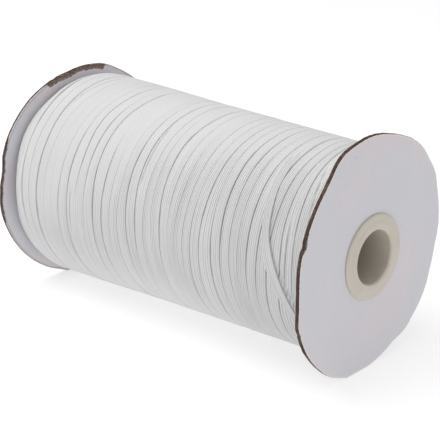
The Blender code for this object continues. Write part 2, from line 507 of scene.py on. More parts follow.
@dataclass(frozen=True)
class MouldedPlasticFinish:
    """Cream moulded plastic with a satin skin and faint handling marks."""

    name: str
    colour: Colour = (0.62, 0.565, 0.49)
    shade: Colour = (0.52, 0.47, 0.405)
    roughness: float = 0.42

    def material(self) -> bpy.types.Material:
        """Build the material.

        Returns:
            The material.
        """
        sheet = NodeSheet(self.name)
        flow = sheet.speckle(7.0 * MM, 3.0)
        grain = sheet.speckle(0.35 * MM, 3.0)
        scuff = sheet.speckle(1.8 * MM, 5.0, (1.0, 1.0, 3.0))
        streaks = sheet.times(sheet.ease(flow, 0.35, 0.7), 0.35)
        colour = sheet.blend(streaks, self.colour, self.shade)
        marks = sheet.times(sheet.ease(scuff, 0.6, 0.8), 0.2)
        return sheet.finish({
            "Base Color": sheet.blend(marks, colour, self.shade),
            "Roughness": sheet.line(scuff, 0.16, self.roughness),
            "Specular IOR Level": 0.4,
            "Normal": sheet.relief(sheet.line(flow, 0.5, grain), 0.04 * MM, 0.5),
        })


# ---------------------------------------------------------------- the wound elastic

# The partings between turns are followed at these angles, from the top down the front.
PARTING_ANGLES = (80.0, 55.0, 30.0, 5.0, -25.0)


class Parting(NamedTuple):
    """One parting between turns: where it runs, and how far it stands open.

    The places are in millimetres from the middle of the roll and the openings go from
    0 (shut) to 14 (a wide gap), at each of the PARTING_ANGLES.
    """

    places: tuple[float, float, float, float, float]
    openings: tuple[int, int, int, int, int]


PARTINGS = (
    Parting((-74.8, -74.6, -74.2, -73.2, -71.4), (12, 14, 9, 9, 9)),
    Parting((-71.0, -70.4, -69.8, -69.0, -67.6), (13, 10, 2, 8, 1)),
    Parting((-66.6, -65.9, -65.3, -64.6, -63.8), (0, 1, 1, 2, 1)),
    Parting((-61.4, -61.2, -60.4, -60.1, -60.0), (5, 6, 7, 9, 9)),
    Parting((-53.8, -55.6, -55.7, -55.4, -55.2), (2, 1, 1, 1, 0)),
    Parting((-49.6, -51.0, -51.2, -50.9, -50.6), (0, 1, 0, 1, 0)),
    Parting((-45.6, -46.7, -46.8, -46.8, -46.9), (0, 0, 1, 4, 3)),
    Parting((-41.2, -42.3, -42.2, -41.7, -41.8), (0, 1, 7, 6, 8)),
    Parting((-36.5, -38.1, -37.0, -37.2, -37.4), (7, 6, 6, 0, 0)),
    Parting((-31.8, -33.0, -32.8, -32.0, -31.8), (1, 6, 5, 1, 0)),
    Parting((-27.2, -28.8, -28.3, -26.8, -26.3), (7, 5, 5, 8, 0)),
    Parting((-22.6, -23.4, -22.3, -21.9, -21.3), (0, 0, 6, 7, 6)),
    Parting((-18.0, -19.0, -17.8, -17.5, -17.0), (0, 0, 1, 2, 0)),
    Parting((-13.6, -14.6, -13.6, -13.2, -12.4), (0, 0, 0, 1, 0)),
    Parting((-10.0, -10.4, -9.9, -8.4, -6.7), (0, 5, 8, 9, 5)),
    Parting((-5.1, -6.1, -5.3, -3.5, -2.6), (6, 6, 5, 8, 2)),
    Parting((0.2, -0.4, 0.0, 0.9, 1.9), (1, 1, 1, 1, 1)),
    Parting((3.5, 3.1, 3.8, 5.2, 6.4), (2, 4, 4, 2, 1)),
    Parting((9.0, 7.4, 8.1, 9.7, 10.6), (8, 9, 7, 7, 1)),
    Parting((13.6, 13.0, 13.2, 13.8, 15.0), (0, 1, 4, 1, 0)),
    Parting((18.2, 17.5, 17.8, 17.2, 18.6), (0, 2, 5, 3, 0)),
    Parting((22.4, 21.9, 21.8, 21.5, 22.2), (1, 2, 2, 2, 0)),
    Parting((26.6, 25.9, 25.6, 25.4, 25.7), (2, 2, 3, 6, 8)),
    Parting((30.8, 30.1, 30.0, 29.8, 30.4), (3, 6, 8, 5, 5)),
    Parting((34.6, 34.1, 34.7, 35.6, 36.6), (3, 4, 3, 8, 9)),
    Parting((38.9, 38.3, 39.0, 40.2, 41.2), (2, 7, 8, 8, 3)),
    Parting((43.7, 42.9, 43.6, 44.7, 46.0), (6, 8, 4, 3, 1)),
    Parting((48.0, 47.0, 47.6, 48.5, 49.3), (1, 4, 2, 3, 3)),
    Parting((52.1, 51.4, 52.0, 52.7, 53.4), (5, 5, 7, 8, 1)),
    Parting((57.4, 57.1, 57.0, 57.4, 57.3), (8, 8, 6, 8, 3)),
    Parting((61.6, 61.2, 62.0, 62.2, 61.8), (4, 7, 8, 8, 8)),
    Parting((65.4, 65.2, 66.4, 68.1, 66.9), (7, 8, 6, 8, 7)),
    Parting((68.3, 69.3, 71.6, 73.6, 74.0), (7, 6, 5, 5, 2)),
    Parting((73.0, 74.0, 75.6, 77.2, 77.4), (2, 2, 2, 2, 2)),
)


class Crease(NamedTuple):
    """A short groove within the turns, from one place to another."""

    start_angle: float
    start_place: float
    end_angle: float
    end_place: float
    depth: float
    half_width: float = 0.38


CREASES = (
    Crease(82.0, -71.0, 56.0, -70.6, 0.90, 0.55),
    Crease(31.0, -72.0, 17.0, -72.1, 0.45),
    Crease(96.0, -57.0, 56.0, -60.4, 0.60),
    Crease(13.0, -39.7, -9.0, -39.9, 0.45),
    Crease(66.0, -5.0, 28.0, -4.0, 0.50),
    Crease(66.0, 70.2, 34.0, 75.4, 0.60),
    Crease(31.0, 69.0, -8.0, 71.3, 0.60),
    Crease(4.0, 68.4, -14.0, 75.0, 0.70, 0.85),
)


class LooseTurn(NamedTuple):
    """One station of a turn that lies over its neighbours."""

    angle: float
    left: float
    right: float
    lift: float


CROSSING_TURN = (
    LooseTurn(112.0, 53.4, 57.3, -1.3),
    LooseTurn(90.0, 53.4, 57.2, -0.4),
    LooseTurn(75.0, 53.0, 56.7, -0.1),
    LooseTurn(60.0, 53.2, 56.9, 0.12),
    LooseTurn(45.0, 54.4, 57.9, 0.4),
    LooseTurn(35.0, 56.0, 59.4, 0.7),
    LooseTurn(20.0, 58.6, 62.0, 0.95),
    LooseTurn(5.0, 62.3, 66.9, 0.95),
    LooseTurn(-5.0, 66.1, 70.5, 0.9),
    LooseTurn(-14.0, 69.6, 73.6, 0.75),
    LooseTurn(-24.0, 72.6, 76.6, 0.35),
    LooseTurn(-34.0, 74.4, 78.2, -0.3),
    LooseTurn(-46.0, 75.0, 78.6, -1.4),
)


def curve_through(stations: Sequence[tuple[float, float]]) -> Callable[[float], float]:
    """Make a smooth curve through stations.

    Args:
        stations: pairs of (where, value) in rising order of where.

    Returns:
        A function that gives the value at a place.
    """
    places = [place for place, _ in stations]
    values = [value for _, value in stations]
    slopes = [0.0] * len(stations)
    for index in range(1, len(stations) - 1):
        before = (values[index] - values[index - 1]) / (places[index] - places[index - 1])
        after = (values[index + 1] - values[index]) / (places[index + 1] - places[index])
        slopes[index] = 0.5 * (before + after)

    def value_at(place: float) -> float:
        """Value of the curve at a place."""
        low, high = 0, len(places) - 1
        if place <= places[0]:
            return values[0]
        if place >= places[-1]:
            return values[-1]
        while high - low > 1:
            middle = (low + high) // 2
            low, high = (middle, high) if places[middle] <= place else (low, middle)
        span = places[high] - places[low]
        share = (place - places[low]) / span
        back = 1.0 - share
        return (
            values[low] * (1.0 + 2.0 * share) * back * back
            + values[high] * (3.0 - 2.0 * share) * share * share
            + slopes[low] * span * share * back * back
            - slopes[high] * span * share * share * back
        )

    return value_at


class SectionPoint(NamedTuple):
    """A point of the strand's section: its share of the width and of the thickness below the top."""

    across: float
    sink: float


class StrandSpot(NamedTuple):
    """A placed point of the strand, with what its finish reads there.

    The reading holds the share across the strand, millimetres along it and its tone; plain
    says how plainly its cords show, from 0 to 1.
    """

    place: Vector
    reading: Vector
    plain: float


@dataclass(frozen=True)
class TurnLie:
    """How the strand lies at one place: its left side, width, openings, level, tilt and tone."""

    left: float
    width: float
    left_open: float
    right_open: float
    level: float
    tilt: float
    tone: float


@dataclass
class WoundElastic:
    """The elastic as it lies on the roll: one long strand in a helix, over the layers below."""

    axis: RollAxis
    finish: BraidFinish
    far_radius: float = 44.6 * MM
    near_radius: float = 39.9 * MM
    far_swell: float = 0.45 * MM         # how much fuller still the far third is
    far_limit: float = -75.0 * MM        # left side of the first turn
    far_slip: float = 2.1 * MM           # how far the far end has slipped inwards at the front
    near_limit: float = 77.2 * MM        # right side of the last turn, before the card's lean
    thickness: float = 1.05 * MM
    touching: float = 2.0                # turns that stand open by less than this still touch
    gap_width: float = 0.048 * MM        # for each further step of opening
    open_depth: float = 0.07 * MM        # how much each step of opening rounds the sides
    cord_depth: float = 0.20 * MM        # of the valleys between the cords
    cords: int = 5
    far_drop: float = 1.3 * MM           # how far the first turn lies below the rest
    slip_drop: float = 1.1 * MM          # and how much further where it has slipped
    front_tone: float = 0.942            # tone at the front
    # painted light: the top is lighter
    top_painted_light: float = 0.068              # how much lighter the top is
    middle_tone: float = 0.014           # how much lighter the nearer half is
    near_shade: float = 0.055            # how much darker the near end is below the top
    under_shade: float = 0.02            # how much darker the underside is
    side_shade: float = 0.72             # tone of the strand's sides: painted shade in the gaps between turns
    turn_length: float = 265.0           # millimetres of strand in a turn
    layers_bore: float = 14.8 * MM       # inside of the layers below
    layers_inset: float = 2.2 * MM       # from the outer face of a card to their end
    steps_in_turn: int = 180
    first_travel: float = -330.0         # degrees from the top of the first turn
    turns_in_pieces: tuple[int, ...] = (9, 9, 9, 8)
    place_curve: Callable[[float], float] = field(init=False)
    open_curve: Callable[[float], float] = field(init=False)
    crossing_curves: list[Callable[[float], float]] = field(init=False)
    lies: dict[float, TurnLie] = field(init=False, default_factory=dict)

    def __post_init__(self) -> None:
        """Lay the partings end to end as one line that runs round and round the roll."""
        places: list[tuple[float, float]] = []
        openings: list[tuple[float, float]] = []
        for turn, parting in enumerate(PARTINGS):
            for angle, place, opening in zip(PARTING_ANGLES, *parting):
                travel = 360.0 * turn + 90.0 - angle
                places.append((travel, place * MM))
                openings.append((travel, float(opening)))
            if turn + 1 < len(PARTINGS):
                start = parting.places[-1]
                rise = PARTINGS[turn + 1].places[0] - start
                for share in (0.33, 0.67):
                    travel = 360.0 * turn + 115.0 + share * 255.0
                    wander = 0.25 * hum(0.37 * turn, share, 3.0)
                    places.append((travel, (start + rise * share + wander) * MM))
                    openings.append((travel, 1.0 + 4.5 * hum(0.9 * turn, 4.0 * share, 5.0)))
        self.place_curve = curve_through(places)
        self.open_curve = curve_through(openings)
        start = CROSSING_TURN[0].angle
        self.crossing_curves = [
            curve_through([(start - station.angle, station[column]) for station in CROSSING_TURN])
            for column in (1, 2, 3)
        ]

    @property
    def last_travel(self) -> float:
        """Degrees travelled at the end of the long strand."""
        return self.first_travel + 360.0 * sum(self.turns_in_pieces)

    def radius_at(self, along: float) -> float:
        """Radius of the wound surface.

        Args:
            along: place along the roll.

        Returns:
            The radius, fuller at the far end.
        """
        share = along / (2.0 * self.axis.half) + 0.5
        fuller = self.far_swell * fall(along, -42.0 * MM, -8.0 * MM)
        return self.far_radius + (self.near_radius - self.far_radius) * share + fuller

    def far_side(self, angle: float) -> float:
        """Left side of the first turn, which has slipped inwards at the front, at an angle."""
        return self.far_limit + 0.5 * self.far_slip * self.slipped(angle)

    def slipped(self, angle: float) -> float:
        """Share by which the far end has slipped inwards at an angle: only about the front."""
        return fall(abs(folded(angle) - 4.0), 4.0, 34.0)

    def near_side(self, angle: float) -> float:
        """Right side of the last turn, which leans with the near card, at an angle."""
        front = self.near_radius * math.cos(math.radians(angle))
        return self.near_limit + NEAR_LEAN.shift(front)

    def parting(self, travel: float) -> tuple[float, float]:
        """Follow the parting on the strand's left.

        Args:
            travel: degrees travelled from the top of the first turn.

        Returns:
            Its place along the roll, and how far it stands open.
        """
        angle = 90.0 - travel
        if travel < 0.0:
            return self.far_side(angle), 5.0
        if travel >= 360.0 * len(PARTINGS):
            return self.near_side(angle), 3.0
        place = min(self.place_curve(travel), self.near_side(angle) - 0.1 * MM)
        wobble = 0.05 * MM * hum(travel / 23.0, 0.0, 1.0)
        opening = self.open_curve(travel) * (1.0 + 0.35 * hum(travel / 9.0, 1.0, 2.0))
        opening *= 1.0 - 0.2 * climb(place, 48.0 * MM, 62.0 * MM)
        return max(place, self.far_side(angle)) + wobble, max(opening, 0.0)

    def section(self) -> list[SectionPoint]:
        """Lay out the strand's section: cords over the top, then round underneath.

        Returns:
            The points, in order round the section.
        """
        shoulder = (0.0, 0.022, 0.055)
        top = list(shoulder)
        top += [0.05 * step for step in range(2, 19)]
        top += [1.0 - share for share in reversed(shoulder)]
        points = [SectionPoint(across, 0.0) for across in top]
        points += [SectionPoint(1.0, 0.55), SectionPoint(0.94, 1.0), SectionPoint(0.5, 1.0)]
        points += [SectionPoint(0.06, 1.0), SectionPoint(0.0, 0.55)]
        return points

    def crease_depth(self, along: float, angle: float) -> float:
        """Depth of any short groove at a place.

        Args:
            along: place along the roll.
            angle: degrees round the axis, from -180 to 180.

        Returns:
            The depth, or 0 away from the grooves.
        """
        depth = 0.0
        for crease in CREASES:
            if not crease.end_angle - 6.0 < angle < crease.start_angle + 6.0:
                continue
            share = (crease.start_angle - angle) / (crease.start_angle - crease.end_angle)
            middle = crease.start_place + (crease.end_place - crease.start_place) * share
            offset = abs(along - middle * MM)
            ends = climb(angle, crease.end_angle - 4.0, crease.end_angle + 5.0)
            ends *= fall(angle, crease.start_angle - 5.0, crease.start_angle + 4.0)
            groove = fall(offset, 0.2 * crease.half_width * MM, crease.half_width * MM)
            depth = max(depth, crease.depth * MM * ends * groove)
        return depth

    def top_height(
        self, across: float, width: float, left: float, right: float, strength: float
    ) -> float:
        """Height of the strand's top over the wound surface.

        Args:
            across: share of the width, from the left.
            width: the strand's width.
            left: how far the parting on its left stands open.
            right: how far the parting on its right stands open.
            strength: how plainly the cords show.

        Returns:
            The height, mostly below 0.
        """
        height = -strength * self.cord_depth * math.cos(math.pi * self.cords * across) ** 4
        for opening, inset in ((left, across * width), (right, (1.0 - across) * width)):
            depth = self.open_depth * opening
            reach = (0.16 + 0.022 * opening) * MM
            height -= depth * (1.0 - min(inset / reach, 1.0)) ** 2
        return height

    def lie(self, travel: float) -> TurnLie:
        """Find how the long strand lies, once for all the points of its section.

        Args:
            travel: degrees travelled from the top of the first turn.

        Returns:
            Its sides, openings and level.
        """
        if travel not in self.lies:
            left, left_open = self.parting(travel)
            right, right_open = self.parting(travel + 360.0)
            left += 0.5 * self.gap_width * max(left_open - self.touching, 0.0)
            right -= 0.5 * self.gap_width * max(right_open - self.touching, 0.0)
            ends = min(travel - self.first_travel, self.last_travel - travel)
            sunk = 1.2 * MM * fall(ends, 0.0, 60.0)
            self.lies[travel] = TurnLie(
                left=left, width=max(right - left, 0.15 * MM),
                left_open=left_open, right_open=right_open,
                level=0.10 * MM * hum(travel / 140.0, 0.0, 4.0) - sunk,
                tilt=0.12 * MM * hum(travel / 260.0, 3.0, 6.0),
                tone=1.0 + 0.02 * hum(travel / 200.0, 0.0, 8.0),
            )
        return self.lies[travel]

    def strand_point(self, point: SectionPoint, travel: float) -> StrandSpot:
        """Place one point of the long strand.

        Args:
            point: the point of the section.
            travel: degrees travelled from the top of the first turn.

        Returns:
            The point, with what its finish reads.
        """
        lie = self.lie(travel)
        angle = 90.0 - travel
        along = lie.left + point.across * lie.width
        radius = self.radius_at(along) + lie.level + lie.tilt * (1.0 - 2.0 * point.across)
        inwards = along - self.far_limit
        radius -= self.far_drop * fall(inwards, 0.0, 5.0 * MM)
        slipped = self.slipped(angle) * fall(inwards, 0.8 * MM, 3.5 * MM)
        radius -= self.slip_drop * slipped
        rise = rise_of(angle)
        top = climb(rise, 25.0, 75.0)
        plain = self.plainness(along, rise)
        if point.sink == 0.0:
            radius += self.top_height(point.across, lie.width, lie.left_open, lie.right_open, plain)
            radius -= self.crease_depth(along, folded(angle))
        else:
            radius -= point.sink * self.thickness
        # Painted light on the top, and painted shade on the near end below the top and on the
        # underside.
        tone = self.front_tone + self.top_painted_light * top
        tone = lie.tone * (tone + self.middle_tone * climb(along, -40.0 * MM, -5.0 * MM))
        tone -= self.near_shade * (1.0 - top) * climb(along, 25.0 * MM, 65.0 * MM)
        tone -= self.under_shade * climb(-rise, 0.0, 35.0)
        # Painted shade on the strand's sides, which sit in the gaps between turns.
        if point.sink > 0.0:
            tone *= self.side_shade
        reading = Vector((point.across, travel / 360.0 * self.turn_length, tone))
        return StrandSpot(self.axis.place(along, angle, radius), reading, plain)

    def plainness(self, along: float, rise: float) -> float:
        """How plainly the cords show: least towards the top of the far end and underneath.

        Args:
            along: place along the roll.
            rise: degrees above the level of the axis, from -90 to 90.

        Returns:
            The share, from 0 to 1.
        """
        plain = 0.35 + 0.65 * climb(along / MM - rise, -75.0, -10.0)
        plain *= 1.0 - 0.45 * climb(rise, 35.0, 80.0)
        under = climb(-rise, 12.0, 42.0) * fall(along, 10.0 * MM, 45.0 * MM)
        return plain * (1.0 - 0.65 * under)

    def crossing_point(self, point: SectionPoint, travel: float) -> StrandSpot:
        """Place one point of the turn that crosses over its neighbours.

        Args:
            point: the point of the section.
            travel: degrees travelled from the start of this turn.

        Returns:
            The point, with what its finish reads.
        """
        angle = CROSSING_TURN[0].angle - travel
        left, right, lift = (curve(travel) for curve in self.crossing_curves)
        width = (right - left) * MM
        along = left * MM + point.across * width
        radius = self.radius_at(along) + lift * MM
        if point.sink == 0.0:
            radius += self.top_height(point.across, width, 2.5, 2.5, 1.0)
            radius += 0.10 * MM * (1.0 - (2.0 * point.across - 1.0) ** 2)
        else:
            radius -= point.sink * self.thickness
        rise = rise_of(angle)
        # Painted light: the top of this turn is lighter.
        tone = 0.95 + 0.06 * climb(rise, 25.0, 75.0)
        reading = Vector((point.across, travel / 360.0 * self.turn_length, tone))
        return StrandSpot(self.axis.place(along, angle, radius), reading, self.plainness(along, rise))

    def strand_piece(
        self, name: str, start: float, turns: int, degrees: float,
        place: Callable[[SectionPoint, float], StrandSpot], material: bpy.types.Material,
    ) -> bpy.types.Object:
        """Spin a stretch of strand and lay it in its place.

        Args:
            name: the piece's name.
            start: degrees travelled where it starts.
            turns: how many lengths it has.
            degrees: how far round each length goes.
            place: gives a point of the section its place.
            material: the braid.

        Returns:
            The piece.
        """
        points = self.section()
        pitch = 10.0 * MM       # of the rough helix, whose turns only have to lie apart
        rough = [(point.across * 4.0 * MM, 40.0 * MM - point.sink * MM) for point in points]
        steps = round(degrees * self.steps_in_turn / 360.0)
        mesh = spun_helix(rough, turns, steps, pitch, degrees)
        slot = mesh.verts.layers.int["slot"]
        reading = mesh.verts.layers.float_vector.new("strand")
        plain = mesh.verts.layers.float.new("plain")
        for vert in mesh.verts:
            number = vert[slot]
            travel = start + degrees / steps * round(steps * (vert.co.x - rough[number][0]) / pitch)
            vert.co, vert[reading], vert[plain] = place(points[number], travel)
        return finish_piece(mesh, name, [material], ["winding"], crease=60.0)

    def under_layers(self, material: bpy.types.Material) -> bpy.types.Object:
        """Build the layers below the top one, which show in the gaps and at the ends.

        Args:
            material: the braid.

        Returns:
            The piece.
        """
        half = self.axis.half - self.layers_inset
        section = [(-half, self.layers_bore), (-half, self.radius_at(-half) - 5.0 * MM)]
        rows = 64
        for row in range(rows + 1):
            along = -half + 1.0 * MM + (2.0 * half - 2.0 * MM) * row / rows
            drop = self.thickness + 0.25 * MM
            drop += 1.6 * MM * fall(along + half, 0.0, 6.0 * MM)
            section.append((along, self.radius_at(along) - drop))
        section += [(half, self.radius_at(half) - 2.5 * MM), (half, self.layers_bore)]
        mesh = spun_ring(section, 120)
        reading = mesh.verts.layers.float_vector.new("strand")
        plain = mesh.verts.layers.float.new("plain")
        for vert in mesh.verts:
            vert[plain] = 1.0
            along, front = vert.co.x, -vert.co.y
            angle = angle_of(vert.co)
            near = climb(along, half - 36.0 * MM, half)
            far = climb(-along, half - 36.0 * MM, half)
            # Painted shade: darker away from the ends, where the layers show only through the gaps
            # between turns.
            tone = 0.97 - 0.2 * climb(half - abs(along), 3.0 * MM, 8.0 * MM)
            vert[reading] = Vector(((along / MM / 4.6) % 1.0, angle / 360.0 * 260.0, tone))
            vert.co.x += near * NEAR_LEAN.shift(front) - far * FAR_LEAN.shift(front)
            end = climb(-along, half - 12.0 * MM, half)
            vert.co.x += self.far_slip * self.slipped(angle) * end
            vert.co += self.axis.middle
        return finish_piece(mesh, "under_layers", [material], ["winding"])

    def build(self) -> None:
        """Build the layers below, the long strand and the turn that crosses over it."""
        material = self.finish.material()
        self.under_layers(material)
        start = self.first_travel
        for number, turns in enumerate(self.turns_in_pieces, 1):
            name = f"wound_turns_{number}"
            self.strand_piece(name, start, turns, 360.0, self.strand_point, material)
            start += 360.0 * turns
        span = CROSSING_TURN[0].angle - CROSSING_TURN[-1].angle
        self.strand_piece("crossing_turn", 0.0, 1, span, self.crossing_point, material)


# ---------------------------------------------------------------- the card flanges


class CardSide(Enum):
    """Which end of the roll a card closes."""

    NEAR = 1.0
    FAR = -1.0


class TornPatch(NamedTuple):
    """A stretch of a card's rim where the paper is torn off the board."""

    start_angle: float
    end_angle: float
    width: float
    outer_face: bool

    def torn(self, angle: float) -> float:
        """Share torn at an angle round the card, which is 0 away from the patch."""
        place = self.start_angle + (angle - self.start_angle + 90.0) % 360.0 - 90.0
        return (
            climb(place, self.start_angle - 2.0, self.start_angle + 1.5)
            * fall(place, self.end_angle - 1.0, self.end_angle + 1.0)
        )


class Chip(NamedTuple):
    """A bite out of a card's rim."""

    angle: float
    half_width: float
    depth: float

    def bite(self, angle: float) -> float:
        """Millimetres bitten off at an angle round the card."""
        offset = abs(folded(angle - self.angle))
        return self.depth * fall(offset, 0.25 * self.half_width, self.half_width)


class CardPoint(NamedTuple):
    """A point of the card's section: share from hole to rim, inset from the rim, depth, rim flag."""

    share: float
    inset: float
    depth: float
    on_edge: bool


class Dent(NamedTuple):
    """A small knock in a card's outer face, in millimetres apart from its angle."""

    angle: float
    inset: float
    half_width: float
    depth: float

    def sunk(self, angle: float, inset: float) -> float:
        """Depth of the dent at an angle and a distance in from the rim."""
        away = math.hypot(math.radians(angle - self.angle) * 44.0, (inset - self.inset) / 1.8)
        return self.depth * MM * fall(away, 0.0, self.half_width)


class BareEdge(NamedTuple):
    """How much of the rim's thickness is bare board at an angle, as a share from the outer face."""

    angle: float
    share: float


@dataclass
class CardFlange:
    """One die-cut card disc, out of round and leaning, with a raw edge and worn paper."""

    axis: RollAxis
    side: CardSide
    node: str
    lean: Lean
    paper: PaperFinish
    edge: BoardEdgeFinish
    torn: Sequence[TornPatch]
    chips: Sequence[Chip]
    bare: Sequence[BareEdge]
    dents: Sequence[Dent] = ()
    thickness: float = CARD_THICKNESS
    hole_radius: float = 12.4 * MM
    seat_radius: float = 18.0 * MM      # the collar presses the card flat up to here
    wave_height: float = 0.16 * MM
    wave_length: float = 15.0 * MM
    no_tear: float = -4.0               # reach of the torn paper where none is torn
    steps: int = 480

    def rim_radii(self) -> list[tuple[float, float]]:
        """Read the card's outline from its CAD node.

        Returns:
            Pairs of (angle, radius) in rising order of angle.
        """
        found: dict[float, float] = {}
        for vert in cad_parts[self.node].data.vertices:
            spot = vert.co - self.axis.middle
            radius = math.hypot(spot.y, spot.z)
            if radius > LEAN_TO + MM:
                angle = round(angle_of(spot), 2)
                found[angle] = max(found.get(angle, 0.0), radius)
        return sorted(found.items())

    def outline(self) -> list[float]:
        """Radius of the rim at each step round the card.

        Returns:
            The radii, from angle 0 up.
        """
        rows = self.rim_radii()
        rows = [(rows[-1][0] - 360.0, rows[-1][1])] + rows + [(rows[0][0] + 360.0, rows[0][1])]
        radii = []
        index = 0
        for step in range(self.steps):
            angle = 360.0 * step / self.steps
            while rows[index + 1][0] < angle:
                index += 1
            (start, first), (end, second) = rows[index], rows[index + 1]
            radius = first + (second - first) * (angle - start) / (end - start)
            down = -math.sin(math.radians(angle))
            if down > 0.1:
                radius = min(radius, self.axis.middle.z / down)
            radii.append(radius)
        return radii

    def section(self) -> list[CardPoint]:
        """Lay out the card's section: its outer face, its edge and its inner face.

        Returns:
            The points, in order round the section.
        """
        insets = (10.0, 8.0, 6.5, 5.2, 4.6, 4.0, 3.4, 2.8, 2.2, 1.5, 0.9, 0.5, 0.22)
        shares = (0.0, 0.1, 0.22, 0.36, 0.5, 0.64)
        face = [CardPoint(share, -1.0, 0.0, False) for share in shares]
        face += [CardPoint(1.0, inset * MM, 0.0, False) for inset in insets]
        edge = [CardPoint(1.0, 0.0, depth, True) for depth in (0.1, 0.3, 0.5, 0.7, 0.9)]
        back = [CardPoint(point.share, point.inset, 1.0, False) for point in reversed(face)]
        return face + edge + back

    def torn_reach(self, angle: float, outer: bool) -> float:
        """How far in from the rim the paper is torn off.

        Args:
            angle: degrees round the card.
            outer: whether this is the outer face.

        Returns:
            Millimetres from the rim, and well below 0 where nothing is torn.
        """
        torn = [patch for patch in self.torn if patch.outer_face == outer]
        reaches = [self.no_tear + (patch.width - self.no_tear) * patch.torn(angle) for patch in torn]
        return max(reaches, default=self.no_tear)

    def rim_wear(self, angle: float, depth: float) -> float:
        """How much is worn off the rim.

        Args:
            angle: degrees round the card.
            depth: share of the thickness, from the outer face.

        Returns:
            The amount to take off the radius.
        """
        turn = math.radians(angle)
        where = (30.0 * math.cos(turn), 30.0 * math.sin(turn))
        seed = self.side.value + 2.0
        rough = 0.10 * hum(2.2 * where[0] + 3.0 * depth, 2.2 * where[1], seed)
        rough += 0.07 * hum(6.0 * where[0], 6.0 * where[1] + 5.0 * depth, seed + 4.0)
        worn = 0.12 + rough
        worn += sum(chip.bite(angle) for chip in self.chips)
        return max(worn, 0.0) * MM

    def bare_board(self, angle: float, point: CardPoint) -> float:
        """How bare the board is at a point of the rim.

        Args:
            angle: degrees round the card, from 0 up to 360.
            point: the point of the section.

        Returns:
            A value from 0, covered with paper, to 1, bare.
        """
        share = self.bare[-1].share
        for before, after in zip(self.bare, self.bare[1:]):
            if before.angle <= angle <= after.angle:
                part = (angle - before.angle) / (after.angle - before.angle)
                share = before.share + (after.share - before.share) * part
        bare = min(max((share - point.depth) / 0.2 + 0.5, 0.0), 1.0)
        return bare if point.on_edge else 0.4 * bare

    def build(self) -> bpy.types.Object:
        """Build the card.

        Returns:
            The card.
        """
        points = self.section()
        rough = [(-0.1 * MM * number, 20.0 * MM + 0.5 * MM * number) for number in range(len(points))]
        mesh = spun_ring(rough, self.steps)
        slot = mesh.verts.layers.int["slot"]
        wear = mesh.verts.layers.float_vector.new("wear")
        edge_slots = {number for number, point in enumerate(points) if point.on_edge}
        radii = self.outline()
        sign = self.side.value
        for face in mesh.faces:
            on_edge = sum(vert[slot] in edge_slots for vert in face.verts)
            face.material_index = 1 if on_edge >= 2 else 0
        for vert in mesh.verts:
            point = points[vert[slot]]
            angle = angle_of(vert.co)
            rim = radii[round(angle * self.steps / 360.0) % self.steps]
            turn = math.radians(angle)
            down = -math.sin(turn) * rim
            flat = climb(down, self.axis.middle.z - 0.5 * MM, self.axis.middle.z - 0.05 * MM)
            rim -= self.rim_wear(angle, point.depth) * (1.0 - flat)
            radius = self.hole_radius + (rim - self.hole_radius) * point.share
            radius -= max(point.inset, 0.0)
            front = radius * math.cos(turn)
            across, upward = front / self.wave_length, radius * math.sin(turn) / self.wave_length
            wave = self.wave_height * hum(across, upward, sign + 9.0)
            wave *= climb(radius, self.seat_radius, LEAN_TO)
            wave *= fall(radius, 0.9 * rim, rim)
            outward = self.axis.half - point.depth * self.thickness + self.lean.shift(front) + wave
            inset = (rim - radius) / MM
            if point.depth == 0.0:
                outward -= sum(dent.sunk(angle, inset) for dent in self.dents)
            torn = self.torn_reach(angle, point.depth < 0.5) - inset
            vert[wear] = Vector((inset, torn, self.bare_board(angle, point)))
            vert.co = self.axis.place(sign * outward, angle, radius)
        materials = [self.paper.material(), self.edge.material()]
        return finish_piece(mesh, f"card_{self.side.name.lower()}", materials, [self.node])


# ---------------------------------------------------------------- the plastic core


